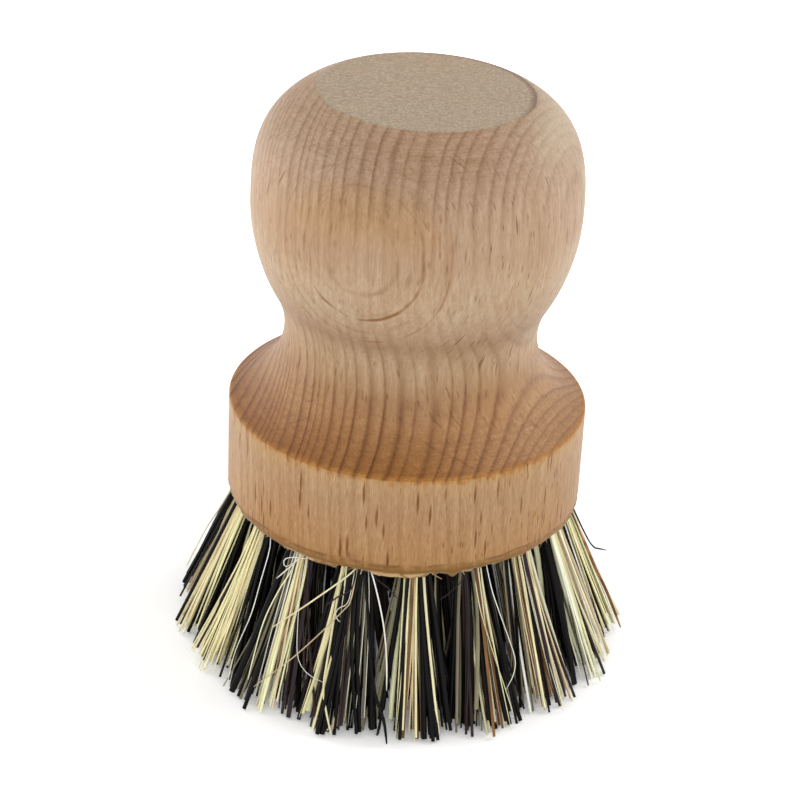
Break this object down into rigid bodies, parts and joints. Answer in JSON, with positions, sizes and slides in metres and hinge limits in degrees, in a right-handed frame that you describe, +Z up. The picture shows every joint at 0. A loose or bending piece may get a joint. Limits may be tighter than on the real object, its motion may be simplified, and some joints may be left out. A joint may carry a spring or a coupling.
{
  "type": "pot brush",
  "caption": "Palm-held pot brush: turned wooden knob with a sanded flat on top, waisted neck and thick disc, with flared tufts of short stiff plant fibre set in its underside.",
  "frame": {"origin": "centre of the plane that the bristle tips stand on, under the handle's turning axis", "axes": "+Z up the handle's turning axis, from the bristle tips to the knob's flat top; -Y towards the picture's viewer"},
  "size_m": [0.0771, 0.0778, 0.0989],
  "materials": {
    "beech": "turned and sanded, unvarnished",
    "plant_fibre": "mixed pale and dark plant fibres, dry and stiff",
    "staple_wire": "drawn wire, bright"
  },
  "bodies": {
    "root": {"handle": "beech", "tuft_outer_01": "plant_fibre", "tuft_outer_02": "plant_fibre", "tuft_outer_03": "plant_fibre", "tuft_outer_04": "plant_fibre", "tuft_outer_05": "plant_fibre", "tuft_outer_06": "plant_fibre", "tuft_outer_07": "plant_fibre", "tuft_outer_08": "plant_fibre", "tuft_outer_09": "plant_fibre", "tuft_outer_10": "plant_fibre", "tuft_outer_11": "plant_fibre", "tuft_outer_12": "plant_fibre", "tuft_outer_13": "plant_fibre", "tuft_outer_14": "plant_fibre", "tuft_outer_15": "plant_fibre", "tuft_outer_16": "plant_fibre", "tuft_outer_17": "plant_fibre", "tuft_middle_01": "plant_fibre", "tuft_middle_02": "plant_fibre", "tuft_middle_03": "plant_fibre", "tuft_middle_04": "plant_fibre", "tuft_middle_05": "plant_fibre", "tuft_middle_06": "plant_fibre", "tuft_middle_07": "plant_fibre", "tuft_middle_08": "plant_fibre", "tuft_middle_09": "plant_fibre", "tuft_inner_01": "plant_fibre", "tuft_inner_02": "plant_fibre", "tuft_inner_03": "plant_fibre", "staple_outer_01": "staple_wire", "staple_outer_02": "staple_wire", "staple_outer_03": "staple_wire", "staple_outer_04": "staple_wire", "staple_outer_05": "staple_wire", "staple_outer_06": "staple_wire", "staple_outer_07": "staple_wire", "staple_outer_08": "staple_wire", "staple_outer_09": "staple_wire", "staple_outer_10": "staple_wire", "staple_outer_11": "staple_wire", "staple_outer_12": "staple_wire", "staple_outer_13": "staple_wire", "staple_outer_14": "staple_wire", "staple_outer_15": "staple_wire", "staple_outer_16": "staple_wire", "staple_outer_17": "staple_wire", "staple_middle_01": "staple_wire", "staple_middle_02": "staple_wire", "staple_middle_03": "staple_wire", "staple_middle_04": "staple_wire", "staple_middle_05": "staple_wire", "staple_middle_06": "staple_wire", "staple_middle_07": "staple_wire", "staple_middle_08": "staple_wire", "staple_middle_09": "staple_wire", "staple_inner_01": "staple_wire", "staple_inner_02": "staple_wire", "staple_inner_03": "staple_wire"}
  },
  "joints": []
}
